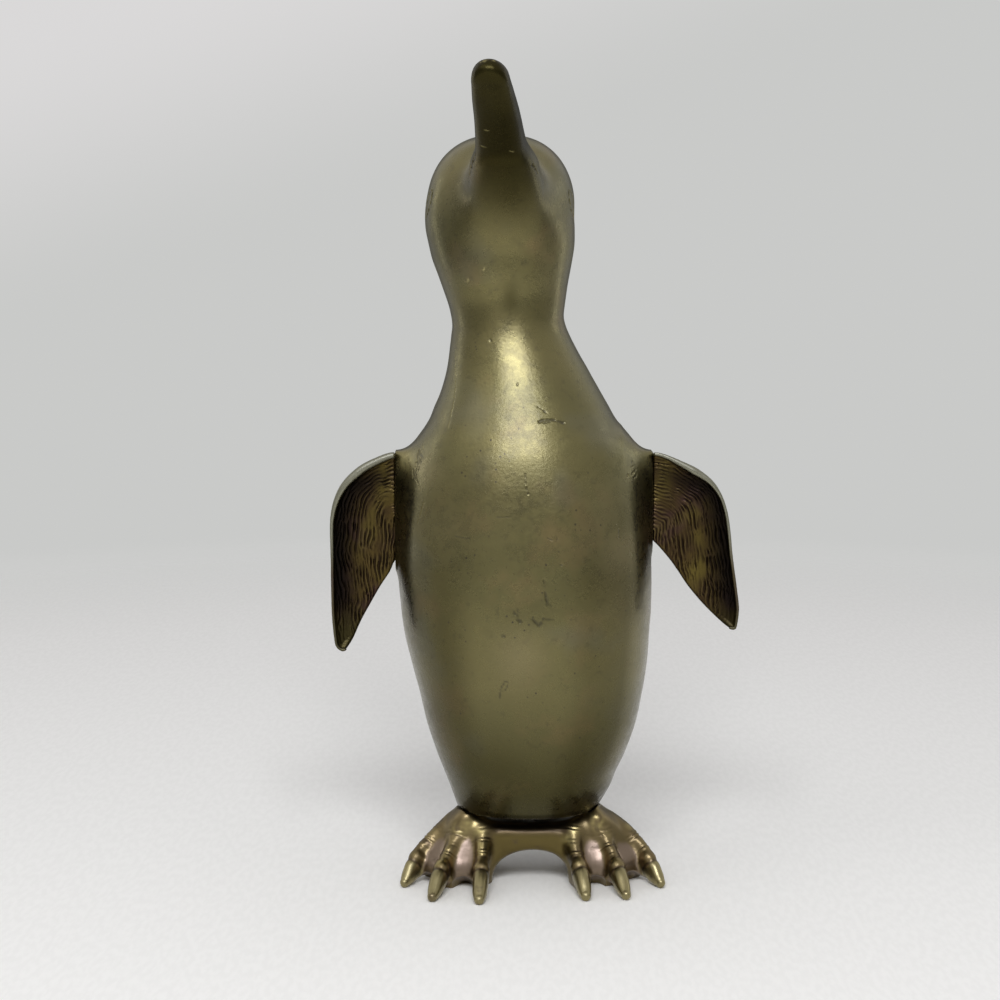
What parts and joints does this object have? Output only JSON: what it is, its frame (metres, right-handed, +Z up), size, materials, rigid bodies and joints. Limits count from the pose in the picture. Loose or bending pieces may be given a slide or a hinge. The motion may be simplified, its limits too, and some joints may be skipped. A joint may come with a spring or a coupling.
{
  "type": "animal figurine",
  "caption": "Standing brass penguin figurine that looks up with its flippers spread, hollow cast, on webbed feet joined by an arched bridge.",
  "frame": {"origin": "on the floor, below the middle of the figure's bounding box", "axes": "+Z up, the penguin faces -Y, +X is the penguin's left side"},
  "size_m": [0.1166, 0.0854, 0.2291],
  "materials": {
    "body_brass": "satin, aged olive brown with fine casting pits",
    "flipper_brass": "cast feather lines, near-black in the grooves",
    "feet_brass": "rubbed yellow on the ridges, mauve patina on the webs",
    "strap_brass": "sawn bar",
    "screw_steel": "turned",
    "washer_steel": "turned"
  },
  "bodies": {
    "root": {"body_shell_right": "body_brass", "body_shell_left": "body_brass", "flipper_right": "flipper_brass", "flipper_left": "flipper_brass", "feet_casting": "feet_brass", "cross_strap": "strap_brass", "clamp_screw": "screw_steel", "screw_washer": "washer_steel"}
  },
  "joints": []
}
